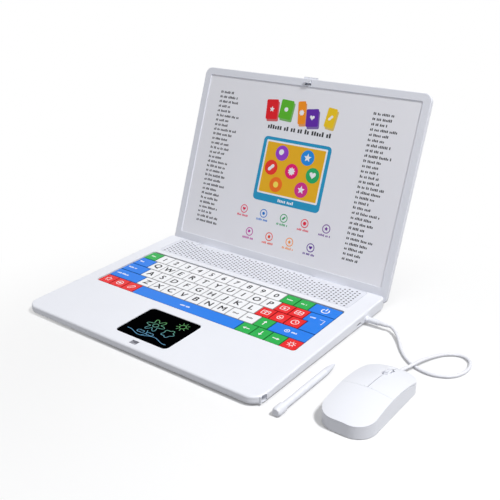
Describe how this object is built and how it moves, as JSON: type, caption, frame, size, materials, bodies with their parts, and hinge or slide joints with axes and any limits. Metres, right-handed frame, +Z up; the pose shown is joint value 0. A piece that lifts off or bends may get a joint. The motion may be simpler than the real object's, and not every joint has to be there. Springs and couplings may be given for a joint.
{
  "type": "toy laptop computer",
  "caption": "Open toy laptop with sprung coloured keys, drawing pad, perforated speaker strip and printed lid panel on friction hinges, with a corded mouse and a stylus.",
  "frame": {"origin": "on the table, in the middle of the footprint of the open laptop, mouse and stylus, without the cord", "axes": "+X to the player's right along the hinge line, +Y away from the player, +Z up"},
  "size_m": [0.4184, 0.3102, 0.217],
  "materials": {
    "backing_board": "uncoated board",
    "blue_key": "satin moulding with printed legends",
    "board": "solder-masked board",
    "brass_washer": "plain",
    "cell_wrap": "shrink-wrapped cells",
    "dark_plastic": "plain moulding",
    "green_key": "satin moulding with printed legends",
    "grey_shell": "smooth satin moulding",
    "membrane": "translucent silicone sheet",
    "pad_black": "black film with a printed doodle",
    "printed_sheet": "printed sheet with a colourful play screen",
    "red_key": "satin moulding with printed legends",
    "soft_grey": "moulded rubber",
    "soft_white": "soft moulded",
    "steel": "bright plated",
    "white_key": "satin moulding with printed legends",
    "white_shell": "smooth satin moulding"
  },
  "bodies": {
    "base": {"bottom_case": "white_shell", "top_case": "white_shell", "speaker_grille": "white_shell", "key_guide": "dark_plastic", "key_membrane": "membrane", "main_board": "board", "speakers": "dark_plastic", "battery_pack": "cell_wrap", "rubber_feet": "soft_grey", "case_screws": "steel", "drawing_pad": "pad_black", "pad_board": "board", "jack_socket": "dark_plastic", "charging_socket": "steel", "hinge_pins": "steel", "friction_washers": "brass_washer", "mouse_base": "white_shell", "mouse_cover": "white_shell", "wheel_axle": "steel", "mouse_board": "board", "mouse_feet": "soft_grey", "mouse_screw": "steel", "mouse_strain_relief": "soft_white", "mouse_cable": "soft_white", "plug_body": "white_shell", "plug_strain_relief": "soft_white", "plug_pin": "steel", "stylus": "white_shell", "stylus_tip": "grey_shell"},
    "lid": {"lid_bezel": "grey_shell", "print_panel": "printed_sheet", "panel_backing": "backing_board", "lid_back_cover": "white_shell"},
    "latch": {"latch_slider": "grey_shell"},
    "esc_key": {"esc_key": "green_key"},
    "number_keys": {"number_keys": "white_key"},
    "page_keys": {"page_keys": "green_key"},
    "power_key": {"power_key": "blue_key"},
    "tab_key": {"tab_key": "blue_key"},
    "top_letter_keys": {"top_letter_keys": "white_key"},
    "upper_game_keys": {"upper_game_keys": "red_key"},
    "enter_key": {"enter_key": "blue_key"},
    "caps_key": {"caps_key": "blue_key"},
    "home_letter_keys": {"home_letter_keys": "white_key"},
    "story_keys": {"story_keys": "red_key"},
    "shift_key": {"shift_key": "blue_key"},
    "bottom_letter_keys": {"bottom_letter_keys": "white_key"},
    "up_key": {"up_key": "green_key"},
    "volume_key": {"volume_key": "blue_key"},
    "song_keys": {"song_keys": "red_key"},
    "space_key": {"space_key": "blue_key"},
    "left_key": {"left_key": "green_key"},
    "down_key": {"down_key": "green_key"},
    "right_key": {"right_key": "green_key"},
    "melody_key": {"melody_key": "red_key"},
    "mouse_left_button": {"mouse_left_button": "white_shell"},
    "mouse_right_button": {"mouse_right_button": "white_shell"},
    "mouse_wheel": {"mouse_wheel": "grey_shell"}
  },
  "joints": [
    {"name": "lid_hinge", "type": "hinge", "parent": "base", "child": "lid", "pos_m": [-0.0475, 0.06941, 0.01], "axis": [1, 0, 0], "range_deg": [0, 110.9]},
    {"name": "latch_slide", "type": "slide", "parent": "lid", "child": "latch", "axis": [0, -0.3338, -0.9426], "range_m": [0, 0.002], "stiffness_N_per_m": 400, "springref_m": -0.001},
    {"name": "esc_key_press", "type": "slide", "parent": "base", "child": "esc_key", "axis": [0, 0.0244, -0.9997], "range_m": [0, 0.0012], "stiffness_N_per_m": 250, "springref_m": -0.001},
    {"name": "number_keys_press", "type": "slide", "parent": "base", "child": "number_keys", "axis": [0, 0.0244, -0.9997], "range_m": [0, 0.0012], "stiffness_N_per_m": 250, "springref_m": -0.001},
    {"name": "page_keys_press", "type": "slide", "parent": "base", "child": "page_keys", "axis": [0, 0.0244, -0.9997], "range_m": [0, 0.0012], "stiffness_N_per_m": 250, "springref_m": -0.001},
    {"name": "power_key_press", "type": "slide", "parent": "base", "child": "power_key", "axis": [0, 0.0244, -0.9997], "range_m": [0, 0.0012], "stiffness_N_per_m": 250, "springref_m": -0.001},
    {"name": "tab_key_press", "type": "slide", "parent": "base", "child": "tab_key", "axis": [0, 0.0244, -0.9997], "range_m": [0, 0.0012], "stiffness_N_per_m": 250, "springref_m": -0.001},
    {"name": "top_letter_keys_press", "type": "slide", "parent": "base", "child": "top_letter_keys", "axis": [0, 0.0244, -0.9997], "range_m": [0, 0.0012], "stiffness_N_per_m": 250, "springref_m": -0.001},
    {"name": "upper_game_keys_press", "type": "slide", "parent": "base", "child": "upper_game_keys", "axis": [0, 0.0244, -0.9997], "range_m": [0, 0.0012], "stiffness_N_per_m": 250, "springref_m": -0.001},
    {"name": "enter_key_press", "type": "slide", "parent": "base", "child": "enter_key", "axis": [0, 0.0244, -0.9997], "range_m": [0, 0.0012], "stiffness_N_per_m": 250, "springref_m": -0.001},
    {"name": "caps_key_press", "type": "slide", "parent": "base", "child": "caps_key", "axis": [0, 0.0244, -0.9997], "range_m": [0, 0.0012], "stiffness_N_per_m": 250, "springref_m": -0.001},
    {"name": "home_letter_keys_press", "type": "slide", "parent": "base", "child": "home_letter_keys", "axis": [0, 0.0244, -0.9997], "range_m": [0, 0.0012], "stiffness_N_per_m": 250, "springref_m": -0.001},
    {"name": "story_keys_press", "type": "slide", "parent": "base", "child": "story_keys", "axis": [0, 0.0244, -0.9997], "range_m": [0, 0.0012], "stiffness_N_per_m": 250, "springref_m": -0.001},
    {"name": "shift_key_press", "type": "slide", "parent": "base", "child": "shift_key", "axis": [0, 0.0244, -0.9997], "range_m": [0, 0.0012], "stiffness_N_per_m": 250, "springref_m": -0.001},
    {"name": "bottom_letter_keys_press", "type": "slide", "parent": "base", "child": "bottom_letter_keys", "axis": [0, 0.0244, -0.9997], "range_m": [0, 0.0012], "stiffness_N_per_m": 250, "springref_m": -0.001},
    {"name": "up_key_press", "type": "slide", "parent": "base", "child": "up_key", "axis": [0, 0.0244, -0.9997], "range_m": [0, 0.0012], "stiffness_N_per_m": 250, "springref_m": -0.001},
    {"name": "volume_key_press", "type": "slide", "parent": "base", "child": "volume_key", "axis": [0, 0.0244, -0.9997], "range_m": [0, 0.0012], "stiffness_N_per_m": 250, "springref_m": -0.001},
    {"name": "song_keys_press", "type": "slide", "parent": "base", "child": "song_keys", "axis": [0, 0.0244, -0.9997], "range_m": [0, 0.0012], "stiffness_N_per_m": 250, "springref_m": -0.001},
    {"name": "space_key_press", "type": "slide", "parent": "base", "child": "space_key", "axis": [0, 0.0244, -0.9997], "range_m": [0, 0.0012], "stiffness_N_per_m": 250, "springref_m": -0.001},
    {"name": "left_key_press", "type": "slide", "parent": "base", "child": "left_key", "axis": [0, 0.0244, -0.9997], "range_m": [0, 0.0012], "stiffness_N_per_m": 250, "springref_m": -0.001},
    {"name": "down_key_press", "type": "slide", "parent": "base", "child": "down_key", "axis": [0, 0.0244, -0.9997], "range_m": [0, 0.0012], "stiffness_N_per_m": 250, "springref_m": -0.001},
    {"name": "right_key_press", "type": "slide", "parent": "base", "child": "right_key", "axis": [0, 0.0244, -0.9997], "range_m": [0, 0.0012], "stiffness_N_per_m": 250, "springref_m": -0.001},
    {"name": "melody_key_press", "type": "slide", "parent": "base", "child": "melody_key", "axis": [0, 0.0244, -0.9997], "range_m": [0, 0.0012], "stiffness_N_per_m": 250, "springref_m": -0.001},
    {"name": "mouse_left_button_press", "type": "hinge", "parent": "base", "child": "mouse_left_button", "pos_m": [0.1735, -0.09809, 0.0192], "axis": [-1, 0, 0], "range_deg": [0, 0.8], "stiffness_Nm_per_rad": 1, "springref_deg": -0.8},
    {"name": "mouse_right_button_press", "type": "hinge", "parent": "base", "child": "mouse_right_button", "pos_m": [0.1735, -0.09809, 0.0192], "axis": [-1, 0, 0], "range_deg": [0, 0.8], "stiffness_Nm_per_rad": 1, "springref_deg": -0.8},
    {"name": "wheel_turn", "type": "hinge", "parent": "base", "child": "mouse_wheel", "pos_m": [0.1735, -0.06009, 0.01108], "axis": [1, 0, 0], "continuous": true}
  ]
}
